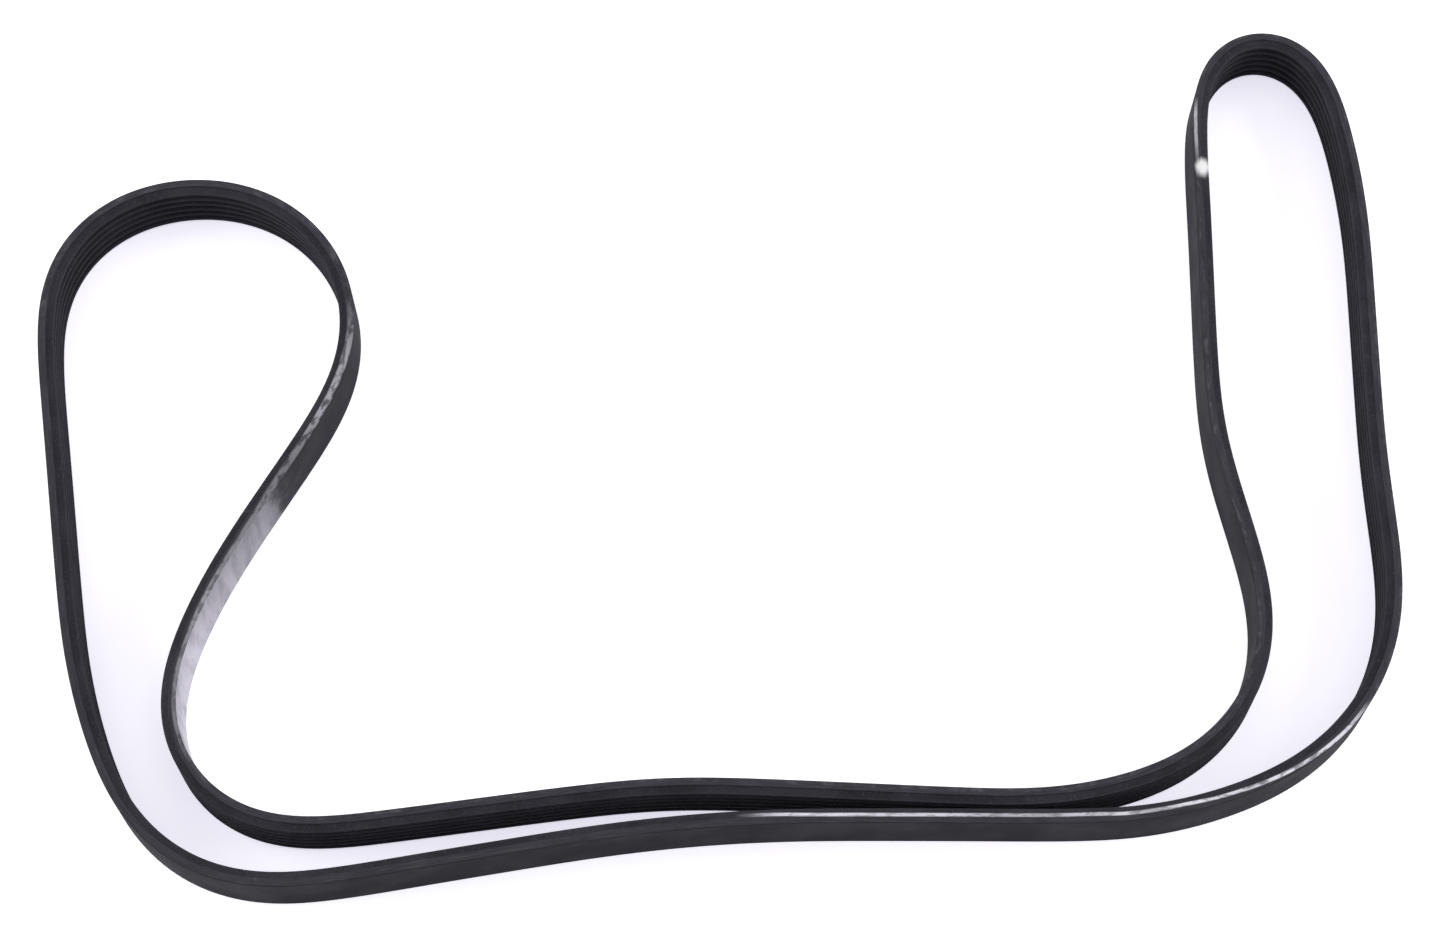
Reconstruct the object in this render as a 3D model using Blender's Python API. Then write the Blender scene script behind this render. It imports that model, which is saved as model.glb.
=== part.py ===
"""Alternator belt: an endless rubber band with V-shaped ribs along its inside.

The band is one moulded piece. Its ribbed section is carried along a closed route that lies in the
XY plane, so the belt stands on one of its cut edges, as a loose belt does when it is laid down in
loops. The route is described by the bends that the belt makes, each a round arc, joined by straight
runs that are tangent to both neighbours. Metres, +Z up, the origin at the middle of the footprint.
"""

import math
from typing import NamedTuple

import bmesh
import bpy
import numpy as np

MM = 0.001

# Section of the band
RIB_COUNT = 6
RIB_PITCH = 3.56 * MM
RIB_ANGLE = math.radians(40.0)
RIB_TIP_WIDTH = 1.10 * MM
GROOVE_FLOOR_WIDTH = 0.75 * MM
BACKING_THICKNESS = 2.45 * MM

# The two long runs, side by side: y is counted from the front one, and each has a low crest
FRONT_CREST_X = 35.0 * MM
FRONT_CREST_RADIUS = 470.0 * MM
FRONT_SLANT = math.radians(9.7)
FRONT_RUN = 78.5 * MM
BACK_CREST_X = -6.0 * MM
BACK_CREST_RADIUS = 192.0 * MM
CREST_SPACE = 4.7 * MM
RUN_SPACE = 0.4 * MM

# Wide loop, at the left: the heel, a swelling side, and a round crown with a cheek beside it
HEEL_RADIUS = 53.5 * MM
SIDE_STEP = 10.5 * MM
SIDE_RISE = 36.5 * MM
SIDE_RADIUS = 96.0 * MM
CROWN_STEP = 22.8 * MM
CROWN_RISE = 91.4 * MM
CROWN_RADIUS = 49.5 * MM
CHEEK_STEP = 1.6 * MM
CHEEK_RISE = 7.7 * MM
CHEEK_RADIUS = 41.0 * MM

# Its neck lies inside the heel, and a brow leads from the crown into it
NECK_SIDE_SPACE = 19.7 * MM
NECK_LOWER_SPACE = 16.5 * MM
NECK_RADIUS = 40.7 * MM
BROW_STEP = 10.7 * MM
BROW_RISE = 29.6 * MM
BROW_RADIUS = 27.0 * MM

# Slim loop, at the right: outside it a toe on a wide instep, and inside those the turn and its lead
TOE_RIGHT = 208.5 * MM
TOE_BOTTOM = 5.5 * MM
TOE_RADIUS = 68.3 * MM
INSTEP_STEP = 20.4 * MM
INSTEP_BOTTOM = -0.3 * MM
INSTEP_RADIUS = 86.0 * MM
TURN_SPACE = 39.3 * MM
TURN_RISE = 4.6 * MM
TURN_RADIUS = 52.7 * MM
LEAD_STEP = 20.0 * MM
LEAD_RADIUS = 71.5 * MM

# Above them a waist, a tight crown and a wavy flank
WAIST_SLANT = math.radians(14.0)
WAIST_RUN = 47.6 * MM
WAIST_RADIUS = 24.5 * MM
SLIM_TOP = 261.6 * MM
SLIM_LEAN = 0.7 * MM
SLIM_RADIUS = 21.6 * MM
SHOULDER_STEP = 6.3 * MM
SHOULDER_DROP = 45.6 * MM
SHOULDER_RADIUS = 107.0 * MM
FLANK_STEP = 3.1 * MM
FLANK_RISE = 39.7 * MM
FLANK_RADIUS = 20.0 * MM

# How the route is eased and divided
EASE_LENGTH = 32.0 * MM
EASE_PASSES = 2
SAMPLE_STEP = 1.0 * MM
STATION_TURN = math.radians(8.0)
STATION_STEP = 30.0 * MM
SHORTEST_TURN = math.radians(-60.0)
SHARP_ANGLE = math.radians(15.0)

# Rubber
RUBBER_COLOUR = (0.042, 0.042, 0.048, 1.0)
RUBBER_ROUGHNESS = 0.62

# Sizes that follow from the ones above
BELT_WIDTH = RIB_COUNT * RIB_PITCH
RIB_FLANK_WIDTH = (RIB_PITCH - RIB_TIP_WIDTH - GROOVE_FLOOR_WIDTH) / 2.0
RIB_HEIGHT = RIB_FLANK_WIDTH / math.tan(RIB_ANGLE / 2.0)
THICKNESS = BACKING_THICKNESS + RIB_HEIGHT

LEFT = 1
RIGHT = -1


class Bend(NamedTuple):
    """One round bend of the route: the centre and radius of its arc, and the side it turns to."""

    x: float
    y: float
    radius: float
    side: int


def clear_scene():
    """Remove the objects that the file opened with."""
    for item in list(bpy.data.objects):
        bpy.data.objects.remove(item, do_unlink=True)


def bend_beyond(bend, heading, run, radius):
    """The bend to the other side that follows a straight run of a given heading and length."""
    reach = (bend.radius + radius) * bend.side
    x = bend.x + reach * math.sin(heading) + run * math.cos(heading)
    y = bend.y - reach * math.cos(heading) + run * math.sin(heading)
    return Bend(x, y, radius, -bend.side)


def wide_loop_heel():
    """The bend at the far end of the front run, which slants down from its crest."""
    return bend_beyond(front_run_crest(), math.pi + FRONT_SLANT, FRONT_RUN, HEEL_RADIUS)


def wide_loop_left():
    """The heel's left side, from which the loop's other bends are counted across."""
    return wide_loop_heel().x - HEEL_RADIUS


def wide_loop_side():
    left = wide_loop_left() - SIDE_STEP
    return Bend(left + SIDE_RADIUS, wide_loop_heel().y + SIDE_RISE, SIDE_RADIUS, RIGHT)


def wide_loop_crown():
    x = wide_loop_left() + CROWN_STEP
    return Bend(x, wide_loop_brow().y + CROWN_RISE, CROWN_RADIUS, RIGHT)


def wide_loop_cheek():
    """A tighter bend that draws the crown out towards its upper left."""
    crown = wide_loop_crown()
    left = crown.x - CROWN_RADIUS + CHEEK_STEP
    return Bend(left + CHEEK_RADIUS, crown.y + CHEEK_RISE, CHEEK_RADIUS, RIGHT)


def wide_loop_brow():
    neck = wide_loop_neck()
    left = neck.x - NECK_RADIUS + BROW_STEP
    return Bend(left + BROW_RADIUS, neck.y + BROW_RISE, BROW_RADIUS, LEFT)


def wide_loop_neck():
    left = wide_loop_left() + NECK_SIDE_SPACE
    bottom = wide_loop_heel().y - HEEL_RADIUS + NECK_LOWER_SPACE
    return Bend(left + NECK_RADIUS, bottom + NECK_RADIUS, NECK_RADIUS, LEFT)


def back_run_crest():
    top = THICKNESS + CREST_SPACE
    return Bend(BACK_CREST_X, top - BACK_CREST_RADIUS, BACK_CREST_RADIUS, RIGHT)


def slim_loop_lead():
    """The wider bend that lifts the back run off the front one, ahead of the turn."""
    bottom = THICKNESS + RUN_SPACE
    return Bend(slim_loop_turn().x - LEAD_STEP, bottom + LEAD_RADIUS, LEAD_RADIUS, LEFT)


def slim_loop_turn():
    right = TOE_RIGHT - TURN_SPACE
    bottom = THICKNESS + RUN_SPACE + TURN_RISE
    return Bend(right - TURN_RADIUS, bottom + TURN_RADIUS, TURN_RADIUS, LEFT)


def slim_loop_waist():
    """The bend at the far end of the run that leaves the turn, which leans to the left."""
    return bend_beyond(slim_loop_turn(), math.pi / 2.0 + WAIST_SLANT, WAIST_RUN, WAIST_RADIUS)


def slim_loop_crown():
    left = slim_loop_waist().x - WAIST_RADIUS + SLIM_LEAN
    return Bend(left + SLIM_RADIUS, SLIM_TOP - SLIM_RADIUS, SLIM_RADIUS, RIGHT)


def slim_loop_shoulder():
    crown = slim_loop_crown()
    right = crown.x + SLIM_RADIUS + SHOULDER_STEP
    return Bend(right - SHOULDER_RADIUS, crown.y - SHOULDER_DROP, SHOULDER_RADIUS, RIGHT)


def slim_loop_flank():
    left = TOE_RIGHT - FLANK_STEP
    return Bend(left + FLANK_RADIUS, slim_loop_toe().y + FLANK_RISE, FLANK_RADIUS, LEFT)


def slim_loop_toe():
    return Bend(TOE_RIGHT - TOE_RADIUS, TOE_BOTTOM + TOE_RADIUS, TOE_RADIUS, RIGHT)


def slim_loop_instep():
    x = slim_loop_toe().x - INSTEP_STEP
    return Bend(x, INSTEP_BOTTOM + INSTEP_RADIUS, INSTEP_RADIUS, RIGHT)


def front_run_crest():
    return Bend(FRONT_CREST_X, -FRONT_CREST_RADIUS, FRONT_CREST_RADIUS, LEFT)


def belt_bends():
    """The bends in the order in which the belt passes them, clockwise seen from above."""
    return [
        wide_loop_crown(),
        wide_loop_brow(),
        wide_loop_neck(),
        back_run_crest(),
        slim_loop_lead(),
        slim_loop_turn(),
        slim_loop_waist(),
        slim_loop_crown(),
        slim_loop_shoulder(),
        slim_loop_flank(),
        slim_loop_toe(),
        slim_loop_instep(),
        front_run_crest(),
        wide_loop_heel(),
        wide_loop_side(),
        wide_loop_cheek(),
    ]


def run_heading(bend, following):
    """Heading of the straight run that touches both bends, each on its own side."""
    across = following.x - bend.x
    along = following.y - bend.y
    radius_step = following.radius * following.side - bend.radius * bend.side
    return math.atan2(along, across) - math.asin(radius_step / math.hypot(across, along))


def bend_arc(bend, heading_in, heading_out):
    """Points on a bend's arc, from the run that enters it to the run that leaves it.

    The turn is counted from SHORTEST_TURN up, because a bend that its neighbours pull flat can
    turn back a little instead of going nearly all the way round.
    """
    turn = (heading_out - heading_in) * bend.side
    turn = (turn - SHORTEST_TURN) % (2.0 * math.pi) + SHORTEST_TURN
    count = 2 + int(abs(turn) * bend.radius / SAMPLE_STEP)
    heading = heading_in + bend.side * turn * np.linspace(0.0, 1.0, count)
    x = bend.x + bend.side * bend.radius * np.sin(heading)
    y = bend.y - bend.side * bend.radius * np.cos(heading)
    return np.column_stack((x, y))


def sharp_route():
    """The closed route as arcs, one after the other; the straight runs lie between them."""
    bends = belt_bends()
    following = bends[1:] + bends[:1]
    headings = [run_heading(bend, after) for bend, after in zip(bends, following)]
    arcs = [bend_arc(bend, headings[i - 1], headings[i]) for i, bend in enumerate(bends)]
    return np.vstack(arcs)


def spread_evenly(points, step):
    """Points at even distances along a closed line."""
    closed = np.vstack((points, points[:1]))
    distance = np.concatenate(([0.0], np.cumsum(np.hypot(*np.diff(closed, axis=0).T))))
    count = int(round(distance[-1] / step))
    wanted = np.linspace(0.0, distance[-1], count, endpoint=False)
    return np.column_stack([np.interp(wanted, distance, closed[:, axis]) for axis in (0, 1)])


def eased_route():
    """The route with each bend led in and out gently, as the stiffness of the band makes it.

    Each point becomes the mean of its neighbours within half the ease length on both sides.
    """
    points = spread_evenly(sharp_route(), SAMPLE_STEP)
    reach = int(round(EASE_LENGTH / SAMPLE_STEP / 2.0))
    for _ in range(EASE_PASSES):
        shifted = [np.roll(points, shift, axis=0) for shift in range(-reach, reach + 1)]
        points = np.mean(shifted, axis=0)
    return points


def headings_along(points):
    """Heading of a closed line at each of its points, without jumps of a full turn."""
    chord = np.roll(points, -1, axis=0) - np.roll(points, 1, axis=0)
    return np.unwrap(np.arctan2(chord[:, 1], chord[:, 0]))


def station_rows():
    """Rows of x, y and heading where the section is placed, closer together in the bends."""
    points = eased_route()
    points = points - (points.min(axis=0) + points.max(axis=0)) / 2.0
    heading = headings_along(points)
    closed = np.vstack((points, points[:1]))
    turned = np.append(heading, heading[0] - 2.0 * math.pi)
    share = np.hypot(*np.diff(closed, axis=0).T) / STATION_STEP + np.abs(np.diff(turned)) / STATION_TURN
    passed = np.concatenate(([0.0], np.cumsum(share)))
    wanted = np.linspace(0.0, passed[-1], math.ceil(passed[-1]), endpoint=False)
    columns = (closed[:, 0], closed[:, 1], turned)
    return np.column_stack([np.interp(wanted, passed, column) for column in columns])


def section_outline():
    """The band's section as (outward, height) pairs, measured from the middle of its thickness.

    It runs up the smooth back, across the upper cut edge, and down the ribs. Both edges are cut
    through the middle of a groove, so each ends in half a groove floor.
    """
    back = THICKNESS / 2.0
    floor = back - BACKING_THICKNESS
    tip = floor - RIB_HEIGHT
    outline = [(back, 0.0), (back, BELT_WIDTH), (floor, BELT_WIDTH)]
    for rib in reversed(range(RIB_COUNT)):
        middle = (rib + 0.5) * RIB_PITCH
        root = RIB_TIP_WIDTH / 2.0 + RIB_FLANK_WIDTH
        outline.append((floor, middle + root))
        outline.append((tip, middle + RIB_TIP_WIDTH / 2.0))
        outline.append((tip, middle - RIB_TIP_WIDTH / 2.0))
        outline.append((floor, middle - root))
    outline.append((floor, 0.0))
    return outline


def place_section(mesh, outline, x, y, heading):
    """Add the section's points at one station; outward is to the left of the heading."""
    outward_x = -math.sin(heading)
    outward_y = math.cos(heading)
    return [mesh.verts.new((x + out * outward_x, y + out * outward_y, height)) for out, height in outline]


def sweep_band():
    """Carry the section round the closed route and skin it with four-sided faces."""
    mesh = bmesh.new()
    outline = section_outline()
    rings = [place_section(mesh, outline, x, y, heading) for x, y, heading in station_rows()]
    for ring, following in zip(rings, rings[1:] + rings[:1]):
        for i in range(len(outline)):
            j = (i + 1) % len(outline)
            mesh.faces.new((ring[i], ring[j], following[j], following[i]))
    bmesh.ops.recalc_face_normals(mesh, faces=mesh.faces)
    return mesh


def rubber_material():
    material = bpy.data.materials.new("belt_rubber")
    material.use_nodes = True
    shader = material.node_tree.nodes["Principled BSDF"]
    shader.inputs["Base Color"].default_value = RUBBER_COLOUR
    shader.inputs["Roughness"].default_value = RUBBER_ROUGHNESS
    shader.inputs["Metallic"].default_value = 0.0
    material.diffuse_color = RUBBER_COLOUR
    return material


def ribbed_belt():
    """The whole belt as one object."""
    band = sweep_band()
    mesh = bpy.data.meshes.new("ribbed_belt")
    band.to_mesh(mesh)
    band.free()
    mesh.shade_smooth()
    mesh.set_sharp_from_angle(angle=SHARP_ANGLE)
    mesh.materials.append(rubber_material())
    belt = bpy.data.objects.new("ribbed_belt", mesh)
    bpy.context.scene.collection.objects.link(belt)
    return belt


def main():
    clear_scene()
    ribbed_belt()


main()
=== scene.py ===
"""Looks of the alternator belt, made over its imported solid.

One fine surface stands for the belt: its ribbed section, with every corner rounded, carried along
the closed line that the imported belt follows. Three rubbers dress it, for the smooth back, the
ground ribs and the two cut edges. A white floor, soft lamps and a camera make up the stage.
"""

import math

import bpy
import numpy as np
from bpy.props import FloatProperty, FloatVectorProperty, PointerProperty
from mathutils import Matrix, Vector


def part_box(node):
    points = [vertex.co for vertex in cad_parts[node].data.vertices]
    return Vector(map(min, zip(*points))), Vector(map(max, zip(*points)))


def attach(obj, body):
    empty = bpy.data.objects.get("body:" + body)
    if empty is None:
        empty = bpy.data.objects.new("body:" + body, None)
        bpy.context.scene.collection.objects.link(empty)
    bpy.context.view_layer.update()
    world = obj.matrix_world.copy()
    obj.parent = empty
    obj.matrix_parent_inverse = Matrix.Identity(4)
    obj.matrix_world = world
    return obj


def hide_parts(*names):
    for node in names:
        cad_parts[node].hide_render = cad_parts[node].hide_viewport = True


bl_info = {
    "name": "Alternator belt",
    "version": (1, 0, 0),
    "blender": (4, 5, 0),
    "location": "View3D > Sidebar > Belt",
    "description": "Fine surface, rubbers and stage for a ribbed alternator belt",
    "category": "Object",
}

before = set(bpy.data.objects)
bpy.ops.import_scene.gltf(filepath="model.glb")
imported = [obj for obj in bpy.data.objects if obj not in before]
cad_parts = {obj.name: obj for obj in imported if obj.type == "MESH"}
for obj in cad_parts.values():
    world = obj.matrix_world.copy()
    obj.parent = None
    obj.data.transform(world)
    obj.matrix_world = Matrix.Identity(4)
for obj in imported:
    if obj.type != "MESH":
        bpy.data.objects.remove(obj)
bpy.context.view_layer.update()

MM = 0.001
BELT_NODE = "ribbed_belt"
LOWEST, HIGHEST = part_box(BELT_NODE)
BELT_WIDTH = HIGHEST.z - LOWEST.z

# Numbers of the three rubbers, in the order in which the mesh holds them
BACK, RIBS, CUT = 0, 1, 2

# Longest stretch of a section's side without a point, and pieces in the arc at each corner
SIDE_STEP = 1.5 * MM
ARC_PIECES = 4

# Micrometres in a metre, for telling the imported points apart
MICROMETRES = 1e6

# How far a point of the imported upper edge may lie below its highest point
LEVEL_SLACK = 0.01 * MM

# Points of the fine walk along the closed line
WALK_POINTS = 8001

# How far the marks of a cut edge reach down its corners, as a share of the rib pitch
EDGE_REACH = 0.4

# Lengths along the belt are counted clockwise from its leftmost point.

# The line of pale fibres on the cut edges, partly a painted highlight along them: length along
# the belt, depth from the back to the line's middle, strength, breadth over the usual one, and
# how far it breaks into dashes
FIBRE_AND_GLINT_LINE = (
    (0.138, 0.9 * MM, 0.00, 1.7, 0.8),
    (0.149, 1.0 * MM, 0.20, 1.7, 0.8),
    (0.158, 1.4 * MM, 0.40, 1.7, 0.8),
    (0.168, 1.5 * MM, 0.42, 1.6, 0.8),
    (0.180, 1.4 * MM, 0.42, 1.6, 0.8),
    (0.188, 1.3 * MM, 0.26, 1.6, 0.8),
    (0.198, 1.2 * MM, 0.18, 1.6, 0.8),
    (0.208, 1.0 * MM, 0.20, 1.6, 0.8),
    (0.218, 0.5 * MM, 0.22, 1.4, 0.6),
    (0.236, 0.5 * MM, 0.26, 1.4, 0.6),
    (0.248, 0.7 * MM, 0.36, 1.4, 0.6),
    (0.262, 0.4 * MM, 0.26, 1.4, 0.6),
    (0.290, 0.4 * MM, 0.20, 1.4, 0.6),
    (0.310, 0.3 * MM, 0.00, 1.4, 0.6),
    (0.817, 1.2 * MM, 0.00, 0.8, 0.3),
    (0.821, 1.1 * MM, 0.40, 0.8, 0.3),
    (0.833, 0.7 * MM, 0.55, 0.8, 0.3),
    (0.839, 0.5 * MM, 0.00, 0.8, 0.3),
    (1.106, 0.5 * MM, 0.00, 0.8, 0.7),
    (1.116, 0.6 * MM, 0.90, 0.8, 0.7),
    (1.142, 1.3 * MM, 1.00, 0.8, 0.7),
    (1.150, 1.6 * MM, 0.80, 0.8, 0.7),
    (1.164, 2.2 * MM, 0.90, 0.8, 0.7),
    (1.171, 2.6 * MM, 1.00, 0.9, 0.5),
    (1.182, 2.5 * MM, 0.45, 0.9, 0.5),
    (1.190, 2.4 * MM, 0.85, 0.9, 0.5),
    (1.200, 2.8 * MM, 0.80, 0.9, 0.5),
    (1.212, 2.6 * MM, 0.54, 0.9, 0.5),
    (1.232, 2.6 * MM, 0.58, 0.9, 0.5),
    (1.245, 2.6 * MM, 0.82, 0.9, 0.4),
    (1.264, 2.6 * MM, 0.80, 0.9, 0.4),
    (1.284, 2.7 * MM, 0.95, 0.9, 0.4),
    (1.293, 3.1 * MM, 0.85, 0.9, 0.4),
    (1.303, 3.2 * MM, 0.00, 0.9, 0.4),
)

# Pale flecks on the upper cut edge: length along, depth from the back, sizes both ways, strength
FLECKS = (
    (0.8142, 2.8 * MM, 2.4 * MM, 2.6 * MM, 1.1),
    (1.4485, 1.9 * MM, 1.4 * MM, 0.7 * MM, 0.5),
)

# The painted reflection on the back, a pale sheen painted into its colour: length along the belt
# and strength, which is that at half height
PAINTED_REFLECTION = (
    (0.150, 0.00),
    (0.195, 0.035),
    (0.205, 0.09),
    (0.214, 0.56),
    (0.229, 0.58),
    (0.237, 0.74),
    (0.243, 0.66),
    (0.255, 0.88),
    (0.265, 1.00),
    (0.280, 0.86),
    (0.296, 0.95),
    (0.308, 1.00),
    (0.320, 0.00),
)

# How much stronger the painted reflection is at the lower edge of the back, and weaker at the upper
# one
PAINTED_REFLECTION_LEAN = 0.2

# Sizes of the patterns in the three rubbers, in the painted reflection and in the line of fibres
# and painted highlight
BACK_CLOUD, BACK_GRAIN, BACK_STREAK = 18.0 * MM, 0.5 * MM, 1.2 * MM
PAINTED_REFLECTION_WISP, PAINTED_REFLECTION_SPOT = 4.5 * MM, 4.0 * MM
RIB_CLOUD, RIB_FIBRE, RIB_GRAIN = 14.0 * MM, 0.28 * MM, 0.22 * MM
CUT_CLOUD, CUT_LINE, CUT_GRAIN = 16.0 * MM, 0.22 * MM, 0.35 * MM
FIBRE_AND_GLINT_DASH = 1.6 * MM

# Heights of the small reliefs on the back and on the rougher ribs and cut edges
SMOOTH_RELIEF, ROUGH_RELIEF = 0.02 * MM, 0.03 * MM

# Depths from the back between which a rib's tip turns worn
WORN_TIP = (4.2 * MM, 4.75 * MM)

# Specular level of each rubber
BACK_GLOSS, RIB_GLOSS, CUT_GLOSS = 0.08, 0.07, 0.15

FLECK_COLOUR = (0.85, 0.85, 0.86, 1.0)

# The floor's colour as it is seen and as it throws light back, and its own glow
FLOOR_SEEN = (0.98, 0.98, 0.92, 1.0)
FLOOR_BOUNCE = (0.40, 0.40, 0.40, 1.0)
FLOOR_GLOW = (0.59, 0.575, 0.68, 1.0)
FLOOR_SQUARES = 8

# The lamps: name, setting that holds the power, side of the square and place
LAMPS = (
    ("top_lamp", "top_power", 1.4, (0.0, 0.1, 1.6)),
    ("rear_lamp", "rear_power", 1.0, (0.0, 1.2, 0.5)),
    ("left_lamp", "left_power", 0.8, (-1.1, 0.1, 0.45)),
    ("right_lamp", "right_power", 0.8, (1.1, 0.1, 0.45)),
)

# Width of the camera's picture, in millimetres
PICTURE_WIDTH = 36.0


class BeltSectionSettings(bpy.types.PropertyGroup):
    """Sizes of the belt's ribbed section and of the mesh that carries it."""

    rib_pitch: FloatProperty(
        name="Rib pitch",
        description="Distance from one rib to the next across the belt",
        default=3.56 * MM,
        subtype="DISTANCE",
        precision=5,
    )
    rib_angle: FloatProperty(
        name="Rib angle",
        description="Angle between the two flanks of a rib",
        default=math.radians(40.0),
        subtype="ANGLE",
    )
    rib_tip_width: FloatProperty(
        name="Rib tip width",
        description="Width of the flat tip of a rib before its corners are rounded",
        default=1.10 * MM,
        subtype="DISTANCE",
        precision=5,
    )
    groove_floor_width: FloatProperty(
        name="Groove floor width",
        description="Width of the flat floor between two ribs before its corners are rounded",
        default=0.75 * MM,
        subtype="DISTANCE",
        precision=5,
    )
    backing_thickness: FloatProperty(
        name="Backing thickness",
        description="Thickness of the band from its smooth back to the groove floors",
        default=2.45 * MM,
        subtype="DISTANCE",
        precision=5,
    )
    back_corner: FloatProperty(
        name="Back corner radius",
        description="Radius of the corner between the smooth back and a cut edge",
        default=0.32 * MM,
        subtype="DISTANCE",
        precision=5,
    )
    tip_corner: FloatProperty(
        name="Rib tip radius",
        description="Radius of the two corners of a rib's tip",
        default=0.28 * MM,
        subtype="DISTANCE",
        precision=5,
    )
    root_corner: FloatProperty(
        name="Groove radius",
        description="Radius of the two corners of a groove's floor",
        default=0.20 * MM,
        subtype="DISTANCE",
        precision=5,
    )
    station_turn: FloatProperty(
        name="Turn per station",
        description="How far the belt may turn between two neighbouring sections",
        default=math.radians(2.6),
        subtype="ANGLE",
    )
    station_step: FloatProperty(
        name="Length per station",
        description="How far apart two neighbouring sections may lie on a straight run",
        default=6.5 * MM,
        subtype="DISTANCE",
        precision=5,
    )


class BeltRubberSettings(bpy.types.PropertyGroup):
    """Colours of the belt's rubbers and the sizes of their texture."""

    back_colour: FloatVectorProperty(
        name="Back colour",
        description="Colour of the smooth back",
        default=(0.0160, 0.0150, 0.0205),
        size=3,
        subtype="COLOR",
        min=0.0,
        max=1.0,
    )
    rib_colour: FloatVectorProperty(
        name="Rib colour",
        description="Colour of the ground ribs",
        default=(0.0300, 0.0290, 0.0375),
        size=3,
        subtype="COLOR",
        min=0.0,
        max=1.0,
    )
    cut_colour: FloatVectorProperty(
        name="Cut edge colour",
        description="Colour of the rubber on the two cut edges",
        default=(0.0325, 0.0312, 0.0400),
        size=3,
        subtype="COLOR",
        min=0.0,
        max=1.0,
    )
    # The fibres' colour is also that of the highlight painted along the cut edges
    fibre_and_glint_colour: FloatVectorProperty(
        name="Fibre colour",
        description="Colour of the pale fibres that show on the cut edges",
        default=(0.84, 0.83, 0.92),
        size=3,
        subtype="COLOR",
        min=0.0,
        max=1.0,
    )
    # The painted reflection: a pale sheen painted into the back's colour by the neck of the wide
    # loop
    painted_reflection_colour: FloatVectorProperty(
        name="Bloom colour",
        description="Colour of the pale bloom on the back by the neck of the wide loop",
        default=(0.86, 0.83, 0.95),
        size=3,
        subtype="COLOR",
        min=0.0,
        max=1.0,
    )
    weave_pitch: FloatProperty(
        name="Weave pitch",
        description="Distance between the threads of the cloth pattern pressed into the back",
        default=0.9 * MM,
        subtype="DISTANCE",
        precision=5,
    )
    # The line of fibres is partly a painted highlight along the cut edge
    fibre_and_glint_width: FloatProperty(
        name="Fibre width",
        description="Width of the line of fibres on a cut edge",
        default=1.50 * MM,
        subtype="DISTANCE",
        precision=5,
    )


class BeltStageSettings(bpy.types.PropertyGroup):
    """The floor, the lamps and the camera."""

    floor_size: FloatProperty(
        name="Floor size",
        description="Side of the square floor",
        default=8.0,
        subtype="DISTANCE",
    )
    dome_strength: FloatProperty(
        name="Dome strength",
        description="Light that reaches the belt evenly from all round",
        default=0.43,
    )
    top_power: FloatProperty(
        name="Top lamp power",
        description="Power of the wide lamp above the belt, in watts",
        default=3.0,
        subtype="POWER",
    )
    rear_power: FloatProperty(
        name="Rear lamp power",
        description="Power of the low lamp behind the belt, in watts",
        default=2.0,
        subtype="POWER",
    )
    left_power: FloatProperty(
        name="Left lamp power",
        description="Power of the lamp at the belt's left, in watts",
        default=8.0,
        subtype="POWER",
    )
    right_power: FloatProperty(
        name="Right lamp power",
        description="Power of the lamp at the belt's right, in watts",
        default=8.5,
        subtype="POWER",
    )
    camera_place: FloatVectorProperty(
        name="Camera place",
        description="Where the camera stands",
        default=(0.002916, -0.385774, 1.0027),
        size=3,
        subtype="TRANSLATION",
    )
    camera_tilt: FloatProperty(
        name="Camera tilt",
        description="Angle between the camera's view and straight down",
        default=math.radians(20.98),
        subtype="ANGLE",
    )
    focal_length: FloatProperty(
        name="Focal length",
        description="Focal length on a picture 36 mm wide, in millimetres",
        default=85.6,
    )


def distinct_triangles(node):
    """A node's points without repeats, and its triangles as rows of three of them.

    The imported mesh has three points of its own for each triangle, so points that agree to a
    micrometre are taken as one.
    """
    mesh = node.data
    places = np.empty(len(mesh.vertices) * 3, np.float32)
    mesh.vertices.foreach_get("co", places)
    places = places.reshape(-1, 3).astype(float)
    corners = np.empty(len(mesh.loops), np.int32)
    mesh.loops.foreach_get("vertex_index", corners)
    rounded = np.round(places * MICROMETRES).astype(np.int64)
    _, first, merged = np.unique(rounded, axis=0, return_index=True, return_inverse=True)
    return places[first], merged.ravel()[corners].reshape(-1, 3)


def border_sides(triangles):
    """Sides that belong to one triangle alone, as rows of start and end."""
    sides = np.vstack((triangles[:, (0, 1)], triangles[:, (1, 2)], triangles[:, (2, 0)]))
    count = triangles.max() + 1
    ahead = sides[:, 0] * count + sides[:, 1]
    reverse = sides[:, 1] * count + sides[:, 0]
    return sides[~np.isin(ahead, reverse)]


def walk(following, start, count):
    """The points met from start on, each one's successor after it.

    The list doubles in length each time: what it holds is followed by the same points moved on
    by its own length, while the leap from a point to a later one doubles too.
    """
    met = np.array([start])
    leap = following
    while len(met) < count:
        met = np.concatenate((met, leap[met]))
        leap = leap[leap]
    return met[:count]


def packed_middle_line(node, backing, thickness):
    """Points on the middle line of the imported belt, clockwise seen from above.

    The upper cut edge is a flat ring of triangles, and the sides that only one of them has are its
    two borders: the outer one on the belt's back and the inner one at the groove floors. The
    middle line lies half the thickness in from each outer point, towards the nearest inner one.
    """
    points, triangles = distinct_triangles(node)
    level = points[:, 2].max() - LEVEL_SLACK
    sides = border_sides(triangles[(points[triangles, 2] > level).all(axis=1)])
    following = np.arange(len(points))
    following[sides[:, 0]] = sides[:, 1]
    count = len(sides) // 2
    start = sides[np.argmin(points[sides[:, 0], 0]), 0]
    outer = np.roll(walk(following, start, count)[::-1], 1)
    inner = np.setdiff1d(sides[:, 0], outer)
    outer, inner = points[outer, :2], points[inner, :2]
    gaps = np.linalg.norm(outer[:, None] - inner[None], axis=2)
    inward = (inner[gaps.argmin(axis=1)] - outer) / backing
    return outer + inward * thickness / 2.0


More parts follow.
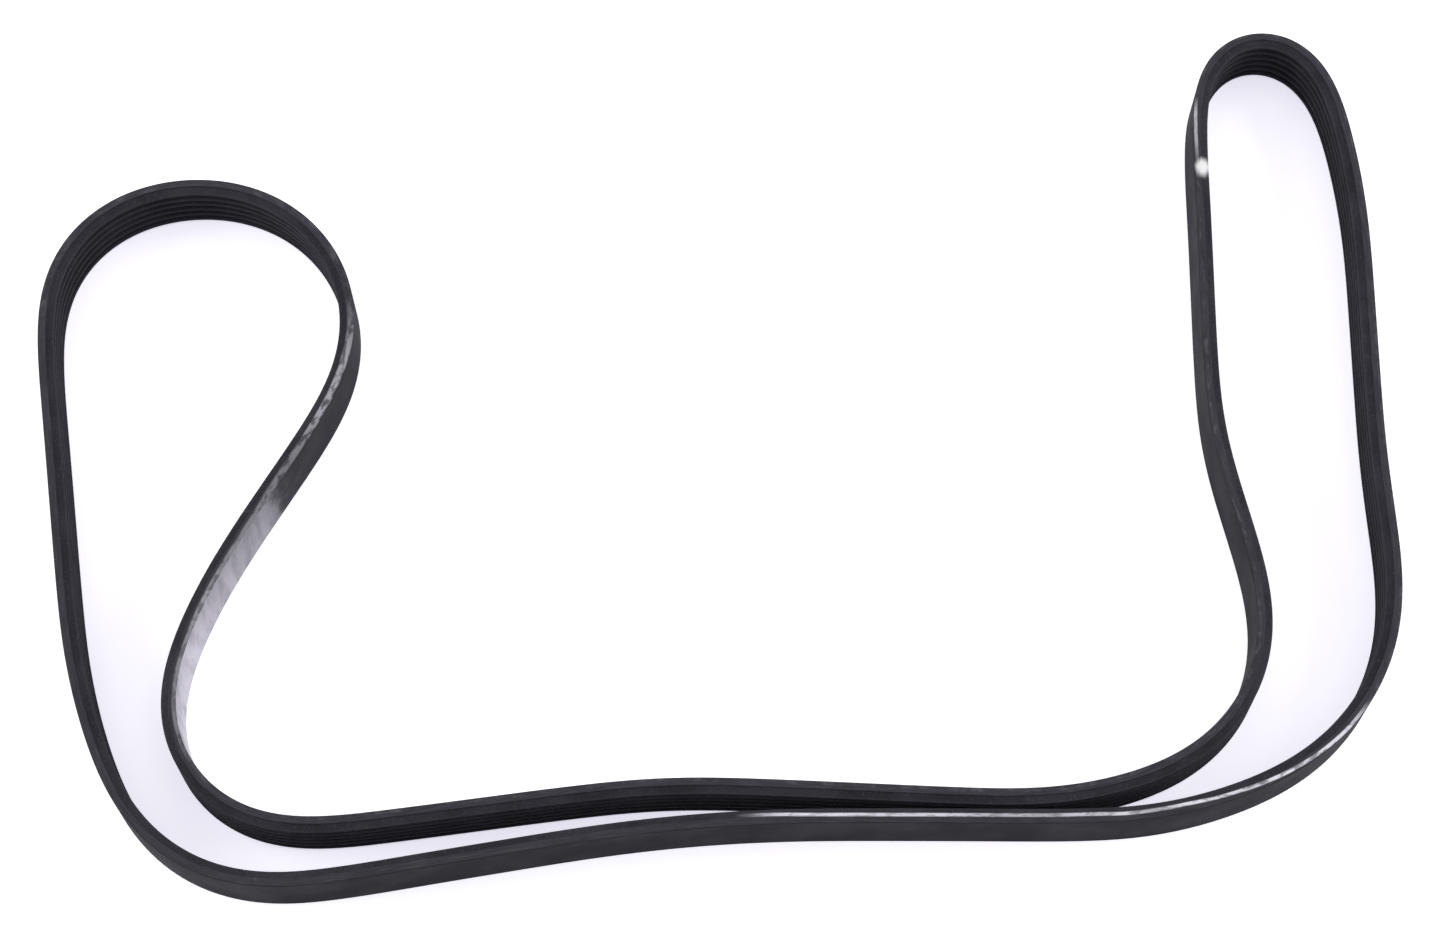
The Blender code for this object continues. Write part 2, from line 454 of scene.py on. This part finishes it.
def closed_spline(points):
    """Knots and bends of the smooth closed line through points: a periodic cubic spline.

    The knots are the lengths along the chords. The second derivatives solve the ring of equations
    which say that neighbouring cubics have the same slope where they meet.
    """
    step = np.linalg.norm(np.roll(points, -1, axis=0) - points, axis=1)
    before = np.roll(step, 1)
    count = len(points)
    here = np.arange(count)
    system = np.zeros((count, count))
    system[here, here] = 2.0 * (before + step)
    system[here, here - 1] = before
    system[here, (here + 1) % count] = step
    ahead = (np.roll(points, -1, axis=0) - points) / step[:, None]
    behind = np.roll(ahead, 1, axis=0)
    return step, np.linalg.solve(system, 6.0 * (ahead - behind))


def spline_at(points, step, bends, wanted):
    """Places and headings on the closed spline at the wanted chord lengths.

    Between two knots the line is a y0 + b y1 + ((a^3 - a) m0 + (b^3 - b) m1) h^2 / 6, where b goes
    from 0 to 1, a is 1 - b, h is the step and m are the second derivatives.
    """
    knots = np.concatenate(([0.0], np.cumsum(step)))
    i = np.clip(np.searchsorted(knots, wanted, side="right") - 1, 0, len(step) - 1)
    j = (i + 1) % len(step)
    h = step[i][:, None]
    b = ((wanted - knots[i]) / step[i])[:, None]
    a = 1.0 - b
    place = a * points[i] + b * points[j]
    place = place + ((a**3 - a) * bends[i] + (b**3 - b) * bends[j]) * h**2 / 6.0
    slope = (points[j] - points[i]) / h
    slope = slope + ((1.0 - 3.0 * a**2) * bends[i] + (3.0 * b**2 - 1.0) * bends[j]) * h / 6.0
    return place, np.arctan2(slope[:, 1], slope[:, 0])


def belt_stations(settings, thickness):
    """Places, headings and lengths along the belt where its section is set.

    A fine walk round the spline adds up, for each small piece, its length over the greatest step
    and its turn over the greatest turn. The sections stand at even shares of that sum, so they
    draw together in the bends.
    """
    knots = packed_middle_line(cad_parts[BELT_NODE], settings.backing_thickness, thickness)
    step, bends = closed_spline(knots)
    fine = np.linspace(0.0, step.sum(), WALK_POINTS)
    place, heading = spline_at(knots, step, bends, fine)
    heading = np.unwrap(heading)
    piece = np.hypot(*np.diff(place, axis=0).T)
    turn = np.abs(np.diff(heading))
    used = piece / settings.station_step + turn / settings.station_turn
    share = np.concatenate(([0.0], np.cumsum(used)))
    length = np.concatenate(([0.0], np.cumsum(piece)))
    count = math.ceil(share[-1])
    wanted = np.linspace(0.0, share[-1], count, endpoint=False)
    place, heading = spline_at(knots, step, bends, np.interp(wanted, share, fine))
    return place, heading, np.interp(wanted, share, length), length[-1]


def rounded_outline(corners, radii, steps):
    """A closed outline with an arc in place of each corner, and the normal at each point.

    At a corner that turns by t, the arc of radius r starts r tan(t/2) before the corner. Its
    centre lies r to the side the outline turns to, and its points go round that centre by t.
    Corners and normals are (outward, height) pairs.
    """
    ahead = np.roll(corners, -1, axis=0) - corners
    ahead = ahead / np.linalg.norm(ahead, axis=1)[:, None]
    come = np.roll(ahead, 1, axis=0)
    cross = come[:, 0] * ahead[:, 1] - come[:, 1] * ahead[:, 0]
    turn = np.arctan2(cross, (come * ahead).sum(axis=1))
    side = np.sign(turn)[:, None]
    across = np.column_stack((-come[:, 1], come[:, 0])) * side
    start = corners - come * (radii * np.tan(np.abs(turn) / 2.0))[:, None]
    centre = start + across * radii[:, None]
    passed = np.abs(turn)[:, None] * np.linspace(0.0, 1.0, steps + 1)[None]
    spoke = come[:, None] * np.sin(passed)[..., None] - across[:, None] * np.cos(passed)[..., None]
    points = centre[:, None] + spoke * radii[:, None, None]
    normals = spoke * side[:, None]
    return points, normals


def belt_section(settings):
    """The belt's section: its sharp corners, their radii, each side's finish, and the thickness.

    It runs up the smooth back, across the upper cut edge, down over the ribs and back across the
    lower cut edge. A flank is as wide as what tip and floor leave of half a pitch, and as high as
    the rib angle makes it. Both edges are cut through the middle of a groove.
    """
    flank = (settings.rib_pitch - settings.rib_tip_width - settings.groove_floor_width) / 2.0
    rib_height = flank / math.tan(settings.rib_angle / 2.0)
    thickness = settings.backing_thickness + rib_height
    back = thickness / 2.0
    floor = back - settings.backing_thickness
    tip = floor - rib_height
    count = round(BELT_WIDTH / settings.rib_pitch)
    middles = BELT_WIDTH - (np.arange(count) + 0.5) * BELT_WIDTH / count
    half_tip = settings.rib_tip_width / 2.0
    half_root = half_tip + flank
    rib = np.array([[floor, half_root], [tip, half_tip], [tip, -half_tip], [floor, -half_root]])
    ribs = (rib[None] + middles[:, None, None] * np.array([0.0, 1.0])).reshape(-1, 2)
    upper = [[back, 0.0], [back, BELT_WIDTH], [floor, BELT_WIDTH]]
    corners = np.vstack((upper, ribs, [[floor, 0.0]]))
    root, peak = settings.root_corner, settings.tip_corner
    edge = root / 2.0
    rib_radii = [root, peak, peak, root] * count
    radii = np.array([settings.back_corner] * 2 + [edge] + rib_radii + [edge])
    finish = np.array([BACK, CUT] + [RIBS] * (4 * count + 1) + [CUT])
    return corners, radii, finish, thickness


def filled_outline(points, normals, finish):
    """The rounded outline as one ring, with more points on its long sides.

    A side longer than SIDE_STEP gets even points between its two arcs. An arc's first half takes
    the finish of the side before it, and its second half that of the side after it.
    """
    steps = points.shape[1] - 1
    following = np.roll(points[:, 0], -1, axis=0)
    gap = np.linalg.norm(following - points[:, -1], axis=1)
    extra = np.maximum(np.ceil(gap / SIDE_STEP).astype(int) - 1, 0)
    ring, facing, face_finish = [], [], []
    for corner in range(len(points)):
        share = np.linspace(0.0, 1.0, extra[corner] + 2)[1:-1, None]
        ring += [points[corner], points[corner, -1] * (1.0 - share) + following[corner] * share]
        facing += [normals[corner], np.repeat(normals[corner, -1:], extra[corner], axis=0)]
        face_finish += [finish[corner - 1]] * (steps // 2) + [finish[corner]] * (steps - steps // 2)
        face_finish += [finish[corner]] * (extra[corner] + 1)
    return np.vstack(ring), np.vstack(facing), np.array(face_finish)


def put_attribute(mesh, name, kind, values):
    """Store one value a point in the mesh."""
    field = "vector" if kind == "FLOAT_VECTOR" else "value"
    attribute = mesh.attributes.new(name, kind, "POINT")
    attribute.data.foreach_set(field, np.ascontiguousarray(values, np.float32).ravel())


def cells(rows, columns):
    """Row and column of each cell of a grid, as two flat arrays."""
    i, j = np.meshgrid(np.arange(rows), np.arange(columns), indexing="ij")
    return i.ravel(), j.ravel()


def grid_mesh(name, points, normals, finish, unrolled):
    """A closed grid of four-sided faces: rows go round the belt and columns round its section.

    Face (i, j) has the corners (i, j), (i, j+1), (i+1, j+1) and (i+1, j), counted round in both
    directions, which turns it outwards. The unrolled pair gives the share of the way round at
    each row and column, up to 1 at the closing one.
    """
    rows, columns = points.shape[:2]
    i, j = cells(rows, columns)
    over = (j + 1) % columns
    near, far = i * columns, (i + 1) % rows * columns
    corners = np.column_stack((near + j, near + over, far + over, far + j))
    mesh = bpy.data.meshes.new(name)
    mesh.vertices.add(rows * columns)
    mesh.vertices.foreach_set("co", points.astype(np.float32).ravel())
    mesh.loops.add(corners.size)
    mesh.loops.foreach_set("vertex_index", corners.astype(np.int32).ravel())
    mesh.polygons.add(len(corners))
    mesh.polygons.foreach_set("loop_start", np.arange(0, corners.size, 4, dtype=np.int32))
    mesh.polygons.foreach_set("material_index", finish[j].astype(np.int32))
    mesh.update(calc_edges=True)
    around, across = unrolled
    u = np.column_stack((around[i], around[i], around[i + 1], around[i + 1]))
    v = np.column_stack((across[j], across[j + 1], across[j + 1], across[j]))
    layer = mesh.uv_layers.new(name="unrolled")
    layer.data.foreach_set("uv", np.stack((u, v), axis=2).astype(np.float32).ravel())
    mesh.shade_smooth()
    mesh.normals_split_custom_set_from_vertices(normals.reshape(-1, 3).tolist())
    return mesh


def even_ring(length, whole, ring):
    """The section's points on a belt that is bent to one even ring.

    The angle round the ring is the share of the belt's length times a full turn, and the radius is
    the whole length over a full turn. The third number is height plus outward distance. Patterns
    on these places close on themselves and don't change in the bends.
    """
    angle = 2.0 * math.pi * length / whole
    radius = whole / (2.0 * math.pi)
    band = np.empty((len(length), len(ring), 3))
    band[..., 0] = radius * np.cos(angle)[:, None]
    band[..., 1] = radius * np.sin(angle)[:, None]
    band[..., 2] = ring.sum(axis=1)
    return band


def table_columns(rows):
    """The columns of a table, each as an array."""
    return [np.array(column) for column in zip(*rows)]


def put_marks(mesh, length, ring, depth, reach):
    """Store where the belt has its line of fibres and painted highlight, its painted reflection and
    its flecks.

    Along the belt, a table's rows are joined by straight lines. The distance from the line of
    fibres and painted highlight is the depth less the line's own depth, over its breadth. The
    painted reflection grows evenly down the back. A fleck is its strength times e to the power of
    minus the two distances from its middle, each over its size and squared.
    """
    below_top = BELT_WIDTH - ring[:, 1]
    # Line of fibres and painted highlight along the cut edges
    along, *values = table_columns(FIBRE_AND_GLINT_LINE)
    deep, strength, breadth, broken = (np.interp(length, along, value)[:, None] for value in values)
    beside = np.minimum(ring[:, 1], below_top) < reach
    put_attribute(mesh, "fibre", "FLOAT", strength * beside)
    put_attribute(mesh, "fibre_off", "FLOAT", (depth - deep) / breadth)
    put_attribute(mesh, "fibre_broken", "FLOAT", np.broadcast_to(broken, (len(length), len(ring))))
    # Painted reflection on the back, stronger towards its lower edge
    lean = 1.0 + PAINTED_REFLECTION_LEAN * (1.0 - 2.0 * ring[:, 1] / BELT_WIDTH)
    bloom = np.interp(length, *table_columns(PAINTED_REFLECTION))[:, None] * lean
    put_attribute(mesh, "bloom", "FLOAT", bloom)
    fleck = sum(
        strength * np.exp(-(((length[:, None] - along) / long) ** 2) - ((depth - deep) / wide) ** 2)
        for along, deep, long, wide, strength in FLECKS
    )
    put_attribute(mesh, "fleck", "FLOAT", fleck * (below_top < reach))


def belt_surface(section, rubber):
    """The belt's fine surface: each section point is carried out and up from each station.

    A point is the station's place, plus its outward distance to the left of the heading, plus its
    height. The depth of a point is how far it lies from the smooth back.
    """
    corners, radii, finish, thickness = belt_section(section)
    points, normals = rounded_outline(corners, radii, ARC_PIECES)
    ring, facing, face_finish = filled_outline(points, normals, finish)
    place, heading, length, whole = belt_stations(section, thickness)
    outward = np.column_stack((-np.sin(heading), np.cos(heading), np.zeros(len(heading))))
    upward = np.array([0.0, 0.0, 1.0])
    ground = np.column_stack((place, np.full(len(place), LOWEST.z)))
    grid = ground[:, None] + ring[None, :, :1] * outward[:, None] + ring[None, :, 1:] * upward
    normal = facing[None, :, :1] * outward[:, None] + facing[None, :, 1:] * upward
    side = np.hypot(*(np.roll(ring, -1, axis=0) - ring).T)
    across = np.concatenate(([0.0], np.cumsum(side))) / side.sum()
    around = np.append(length, whole) / whole
    mesh = grid_mesh("ribbed_belt_surface", grid, normal, face_finish, (around, across))
    depth = thickness / 2.0 - ring[:, 0]
    put_attribute(mesh, "band", "FLOAT_VECTOR", even_ring(length, whole, ring))
    put_attribute(mesh, "depth", "FLOAT", np.broadcast_to(depth, grid.shape[:2]))
    put_marks(mesh, length, ring, depth, section.rib_pitch * EDGE_REACH)
    for material in belt_rubbers(rubber, whole, side.sum()):
        mesh.materials.append(material)
    return mesh


def add_node(tree, kind, **settings):
    """A new node with its own settings."""
    node = tree.nodes.new(kind)
    for name, value in settings.items():
        setattr(node, name, value)
    return node


def feed(tree, socket, value):
    """Link an output to a socket, or set the socket to a plain value."""
    if isinstance(value, bpy.types.NodeSocket):
        tree.links.new(value, socket)
    else:
        socket.default_value = value


def maths(tree, operation, *values):
    """The result of one sum on numbers or outputs."""
    node = add_node(tree, "ShaderNodeMath", operation=operation)
    for socket, value in zip(node.inputs, values):
        feed(tree, socket, value)
    return node.outputs["Value"]


def product(tree, first, second):
    """One number times another."""
    return maths(tree, "MULTIPLY", first, second)


def attribute(tree, name, output="Fac"):
    """An attribute that the surface carries."""
    return add_node(tree, "ShaderNodeAttribute", attribute_name=name).outputs[output]


def stretched(tree, vector, scale):
    """A vector with each of its numbers multiplied."""
    node = add_node(tree, "ShaderNodeMapping")
    feed(tree, node.inputs["Vector"], vector)
    node.inputs["Scale"].default_value = scale
    return node.outputs["Vector"]


def noise(tree, vector, size, detail=2.0, roughness=0.5):
    """Soft noise whose spots are about as large as the given size."""
    node = add_node(tree, "ShaderNodeTexNoise")
    feed(tree, node.inputs["Vector"], vector)
    node.inputs["Scale"].default_value = 1.0 / size
    node.inputs["Detail"].default_value = detail
    node.inputs["Roughness"].default_value = roughness
    return node.outputs["Fac"]


def between(tree, value, low, high, result_low=0.0, result_high=1.0):
    """A value carried smoothly from one range to another and held at its ends."""
    node = add_node(tree, "ShaderNodeMapRange", interpolation_type="SMOOTHSTEP")
    feed(tree, node.inputs["Value"], value)
    ends = {"From Min": low, "From Max": high, "To Min": result_low, "To Max": result_high}
    for name, number in ends.items():
        node.inputs[name].default_value = number
    return node.outputs["Result"]


def blend(tree, share, first, second):
    """A colour between two, by a share of the second.

    A mix node has sockets for each kind of value. Inputs 6 and 7 and output 2 are for colours.
    """
    node = add_node(tree, "ShaderNodeMix", data_type="RGBA")
    feed(tree, node.inputs["Factor"], share)
    feed(tree, node.inputs[6], first)
    feed(tree, node.inputs[7], second)
    return node.outputs[2]


def shade(colour, factor):
    """A colour made darker or lighter, with full alpha."""
    return (*(min(channel * factor, 1.0) for channel in colour), 1.0)


def clouded(tree, pattern, colour, spread):
    """A colour that a pattern turns darker and lighter by up to the given share."""
    darker, lighter = shade(colour, 1.0 - spread), shade(colour, 1.0 + spread)
    return blend(tree, between(tree, pattern, 0.35, 0.65), darker, lighter)


def flecked(tree, base):
    """A colour with the pale flecks laid over it."""
    return blend(tree, between(tree, attribute(tree, "fleck"), 0.2, 0.8), base, FLECK_COLOUR)


def raised(tree, height, distance):
    """The surface normal over a small relief."""
    node = add_node(tree, "ShaderNodeBump")
    feed(tree, node.inputs["Height"], height)
    node.inputs["Distance"].default_value = distance
    return node.outputs["Normal"]


def new_rubber(name, colour, gloss):
    """An empty rubber: its node tree and its shader."""
    material = bpy.data.materials.new(name)
    material.use_nodes = True
    material.diffuse_color = shade(colour, 1.0)
    shader = material.node_tree.nodes["Principled BSDF"]
    shader.inputs["Metallic"].default_value = 0.0
    shader.inputs["Specular IOR Level"].default_value = gloss
    return material, material.node_tree, shader


def wave_counts(pitch, around, across):
    """Whole numbers of waves round the belt and round its section. A wave spans two threads."""
    return round(around / (pitch * 2.0)), round(across / (pitch * 2.0))


def woven(tree, counts):
    """Height of a cloth pattern: the product of two waves that cross at a slant.

    Both waves pass a whole number of times round the belt and round the section, so the pattern
    closes on itself.
    """
    spot = add_node(tree, "ShaderNodeSeparateXYZ")
    feed(tree, spot.inputs[0], add_node(tree, "ShaderNodeUVMap", uv_map="unrolled").outputs["UV"])
    along = product(tree, spot.outputs["X"], 2.0 * math.pi * counts[0])
    over = product(tree, spot.outputs["Y"], 2.0 * math.pi * counts[1])
    first = maths(tree, "SINE", maths(tree, "ADD", along, over))
    second = maths(tree, "SINE", maths(tree, "SUBTRACT", along, over))
    return product(tree, first, second)


def painted_reflection_share(tree, band):
    """Share of the painted reflection, a pale sheen painted into the back: stored on the surface,
    broken by wisps and ragged at its borders.
    """
    stored = attribute(tree, "bloom")
    wisp = noise(tree, stretched(tree, band, (1.0, 1.0, 0.25)), PAINTED_REFLECTION_WISP, 3.0, 0.6)
    shown = product(tree, stored, between(tree, wisp, 0.30, 0.62, 0.72, 1.0))
    spots = maths(tree, "MULTIPLY_ADD", noise(tree, band, PAINTED_REFLECTION_SPOT, 2.0, 0.5), 0.8, -0.4)
    border = between(tree, maths(tree, "ADD", stored, spots), 0.06, 0.36, 0.4, 1.0)
    return product(tree, shown, border)


def back_rubber(rubber, around, across):
    """Smooth back: satin rubber with a faint cloth pattern, cloudy tone and a painted reflection, a
    pale sheen painted into its colour.
    """
    colour = rubber.back_colour
    material, tree, shader = new_rubber("back_rubber", colour, BACK_GLOSS)
    band = attribute(tree, "band", "Vector")
    cloud = noise(tree, band, BACK_CLOUD, 3.0, 0.6)
    grain = noise(tree, band, BACK_GRAIN, 3.0, 0.6)
    streak = noise(tree, stretched(tree, band, (0.05, 0.05, 1.0)), BACK_STREAK, 3.0, 0.6)
    tone = maths(tree, "ADD", product(tree, cloud, 0.6), product(tree, streak, 0.4))
    base = clouded(tree, tone, colour, 0.16)
    base = blend(tree, between(tree, grain, 0.58, 0.75, 0.0, 0.35), base, shade(colour, 2.0))
    # Painted reflection: a pale sheen laid over the back's colour
    base = blend(tree, painted_reflection_share(tree, band), base, shade(rubber.painted_reflection_colour, 1.0))
    feed(tree, shader.inputs["Base Color"], base)
    feed(tree, shader.inputs["Roughness"], between(tree, cloud, 0.3, 0.7, 0.64, 0.78))
    cloth = product(tree, woven(tree, wave_counts(rubber.weave_pitch, around, across)), 0.5)
    relief = maths(tree, "ADD", cloth, product(tree, grain, 0.8))
    feed(tree, shader.inputs["Normal"], raised(tree, relief, SMOOTH_RELIEF))
    return material


def fibre_and_glint_share(tree, rubber, resting):
    """Share of pale fibre and painted highlight: a line on the cut edge that comes and goes along
    the belt.

    The line is broken into dashes as far as the surface says. Where it fades out, stray fibres
    with the resting share stay.
    """
    off = maths(tree, "ABSOLUTE", attribute(tree, "fibre_off"))
    line = between(tree, off, rubber.fibre_and_glint_width * 0.28, rubber.fibre_and_glint_width * 0.60, 1.0, 0.0)
    band = stretched(tree, attribute(tree, "band", "Vector"), (0.42, 0.42, 1.0))
    dashes = noise(tree, band, FIBRE_AND_GLINT_DASH, 2.0, 0.6)
    holes = between(tree, dashes, 0.36, 0.54, 1.0, 0.0)
    whole = maths(tree, "SUBTRACT", 1.0, product(tree, attribute(tree, "fibre_broken"), holes))
    shown = product(tree, attribute(tree, "fibre"), whole)
    rest = between(tree, dashes, 0.45, 0.75, 0.0, resting)
    return product(tree, line, maths(tree, "MAXIMUM", shown, rest))


def rib_rubber(rubber):
    """Ground ribs: dull rubber with short fibres lying across the belt, and tips that are worn."""
    colour = rubber.rib_colour
    material, tree, shader = new_rubber("rib_rubber", colour, RIB_GLOSS)
    band = attribute(tree, "band", "Vector")
    cloud = noise(tree, band, RIB_CLOUD, 3.0, 0.6)
    fibres = noise(tree, stretched(tree, band, (1.0, 1.0, 0.22)), RIB_FIBRE, 2.0, 0.5)
    grain = noise(tree, band, RIB_GRAIN, 2.0, 0.6)
    base = clouded(tree, cloud, colour, 0.2)
    base = blend(tree, between(tree, fibres, 0.60, 0.74, 0.0, 0.6), base, shade(colour, 3.2))
    tip = between(tree, attribute(tree, "depth"), *WORN_TIP, 0.0, 0.35)
    base = blend(tree, tip, base, shade(colour, 2.2))
    # Pale fibres and painted highlight where the line runs onto the ribs by the cut edges
    base = blend(tree, fibre_and_glint_share(tree, rubber, 0.0), base, shade(rubber.fibre_and_glint_colour, 1.0))
    feed(tree, shader.inputs["Base Color"], flecked(tree, base))
    feed(tree, shader.inputs["Roughness"], between(tree, fibres, 0.3, 0.7, 0.82, 0.68))
    relief = maths(tree, "ADD", fibres, product(tree, grain, 0.7))
    feed(tree, shader.inputs["Normal"], raised(tree, relief, ROUGH_RELIEF))
    return material


def cut_rubber(rubber):
    """Cut edges: grainy rubber with cutting lines, and a line of pale fibres that is partly a
    painted highlight.
    """
    colour = rubber.cut_colour
    material, tree, shader = new_rubber("cut_rubber", colour, CUT_GLOSS)
    band = attribute(tree, "band", "Vector")
    lines = noise(tree, stretched(tree, band, (0.03, 0.03, 1.0)), CUT_LINE, 2.0, 0.6)
    grain = noise(tree, band, CUT_GRAIN, 3.0, 0.6)
    cloud = noise(tree, band, CUT_CLOUD, 3.0, 0.6)
    base = clouded(tree, cloud, colour, 0.15)
    base = blend(tree, between(tree, lines, 0.45, 0.70, 0.0, 0.5), base, shade(colour, 2.4))
    base = blend(tree, between(tree, grain, 0.55, 0.75, 0.0, 0.4), base, shade(colour, 2.4))
    # Pale fibres and painted highlight along the cut edge, with a few stray fibres elsewhere
    base = blend(tree, fibre_and_glint_share(tree, rubber, 0.05), base, shade(rubber.fibre_and_glint_colour, 1.0))
    feed(tree, shader.inputs["Base Color"], flecked(tree, base))
    feed(tree, shader.inputs["Roughness"], between(tree, grain, 0.3, 0.7, 0.62, 0.80))
    relief = maths(tree, "ADD", lines, product(tree, grain, 0.8))
    feed(tree, shader.inputs["Normal"], raised(tree, relief, ROUGH_RELIEF))
    return material


def belt_rubbers(rubber, around, across):
    """The three rubbers in the order of their numbers."""
    return back_rubber(rubber, around, across), rib_rubber(rubber), cut_rubber(rubber)


def seen_directly(tree):
    """1 for rays from the camera and for mirror and glass rays, and 0 for the rest."""
    path = add_node(tree, "ShaderNodeLightPath").outputs
    camera_or_mirror = maths(tree, "MAXIMUM", path["Is Camera Ray"], path["Is Glossy Ray"])
    return maths(tree, "MAXIMUM", camera_or_mirror, path["Is Transmission Ray"])


def floor_material():
    """White floor that stays white in the light and turns a pale lavender in the belt's shadow."""
    material = bpy.data.materials.new("white_floor")
    material.use_nodes = True
    tree = material.node_tree
    shader = tree.nodes["Principled BSDF"]
    seen = seen_directly(tree)
    feed(tree, shader.inputs["Base Color"], blend(tree, seen, FLOOR_BOUNCE, FLOOR_SEEN))
    shader.inputs["Roughness"].default_value = 1.0
    shader.inputs["Specular IOR Level"].default_value = 0.0
    shader.inputs["Emission Color"].default_value = FLOOR_GLOW
    feed(tree, shader.inputs["Emission Strength"], seen)
    return material


def floor_mesh(size):
    """A flat square grid on the level that the belt stands on."""
    across = FLOOR_SQUARES + 1
    line = np.linspace(-size / 2.0, size / 2.0, across)
    x, y = np.meshgrid(line, line, indexing="ij")
    points = np.column_stack((x.ravel(), y.ravel(), np.full(x.size, LOWEST.z)))
    i, j = cells(FLOOR_SQUARES, FLOOR_SQUARES)
    first = i * across + j
    faces = np.column_stack((first, first + across, first + across + 1, first + 1))
    mesh = bpy.data.meshes.new("white_floor")
    mesh.from_pydata(points.tolist(), [], faces.tolist())
    mesh.materials.append(floor_material())
    return mesh


def show(name, data):
    """A new object in the scene."""
    item = bpy.data.objects.new(name, data)
    bpy.context.scene.collection.objects.link(item)
    return item


def soft_lamp(name, power, size, place):
    """A square lamp at a place, turned to the origin."""
    data = bpy.data.lights.new(name, "AREA")
    data.shape = "SQUARE"
    data.size = size
    data.energy = power
    lamp = show(name, data)
    lamp.location = place
    x, y, z = place
    lean = math.atan2(math.hypot(x, y), z)
    lamp.rotation_euler = (lean, 0.0, math.atan2(-y, -x) - math.pi / 2.0)


def light_world(strength):
    """An even dome of light, seen as plain white."""
    world = bpy.data.worlds.new("white_world")
    world.use_nodes = True
    tree = world.node_tree
    ground = tree.nodes["Background"]
    ground.inputs["Color"].default_value = (1.0, 1.0, 1.0, 1.0)
    level = between(tree, seen_directly(tree), 0.0, 1.0, strength, 1.0)
    feed(tree, ground.inputs["Strength"], level)
    bpy.context.scene.world = world


class BELT_OT_make_surface(bpy.types.Operator):
    """Make the belt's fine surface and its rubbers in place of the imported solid"""

    bl_idname = "belt.make_surface"
    bl_label = "Make the belt"

    def execute(self, context):
        """Put the surface in the scene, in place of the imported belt."""
        mesh = belt_surface(context.scene.belt_section, context.scene.belt_rubber)
        belt = show("ribbed_belt_surface", mesh)
        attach(belt, "root")
        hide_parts(BELT_NODE)
        return {"FINISHED"}


class BELT_OT_make_stage(bpy.types.Operator):
    """Make the white floor, the lamps and the camera"""

    bl_idname = "belt.make_stage"
    bl_label = "Make the stage"

    def execute(self, context):
        """Put the floor, the world's light, the lamps and the camera in the scene."""
        stage = context.scene.belt_stage
        show("white_floor", floor_mesh(stage.floor_size))
        light_world(stage.dome_strength)
        for name, power, size, place in LAMPS:
            soft_lamp(name, getattr(stage, power), size, place)
        data = bpy.data.cameras.new("camera")
        data.lens = stage.focal_length
        data.sensor_width = PICTURE_WIDTH
        camera = show("camera", data)
        camera.location = stage.camera_place
        camera.rotation_euler = (stage.camera_tilt, 0.0, 0.0)
        context.scene.camera = camera
        context.scene.view_settings.view_transform = "Standard"
        return {"FINISHED"}


class BELT_PT_looks(bpy.types.Panel):
    """Sizes, colours and makers of the belt"""

    bl_idname = "BELT_PT_looks"
    bl_label = "Alternator belt"
    bl_space_type = "VIEW_3D"
    bl_region_type = "UI"
    bl_category = "Belt"

    def draw(self, context):
        """Show each group's settings in a box of its own, above the two buttons."""
        layout = self.layout
        scene = context.scene
        for settings in (scene.belt_section, scene.belt_rubber, scene.belt_stage):
            box = layout.box()
            for name in settings.__annotations__:
                box.prop(settings, name)
        layout.operator(BELT_OT_make_surface.bl_idname)
        layout.operator(BELT_OT_make_stage.bl_idname)


CLASSES = (
    BeltSectionSettings,
    BeltRubberSettings,
    BeltStageSettings,
    BELT_OT_make_surface,
    BELT_OT_make_stage,
    BELT_PT_looks,
)


def register():
    """Add the add-on's classes, and its settings to every scene."""
    for kind in CLASSES:
        bpy.utils.register_class(kind)
    bpy.types.Scene.belt_section = PointerProperty(type=BeltSectionSettings)
    bpy.types.Scene.belt_rubber = PointerProperty(type=BeltRubberSettings)
    bpy.types.Scene.belt_stage = PointerProperty(type=BeltStageSettings)


def unregister():
    """Take the settings and the classes away again."""
    del bpy.types.Scene.belt_stage
    del bpy.types.Scene.belt_rubber
    del bpy.types.Scene.belt_section
    for kind in reversed(CLASSES):
        bpy.utils.unregister_class(kind)


def main():
    """Make the belt and its stage."""
    register()
    bpy.ops.belt.make_surface()
    bpy.ops.belt.make_stage()


if __name__ == "__main__":
    main()
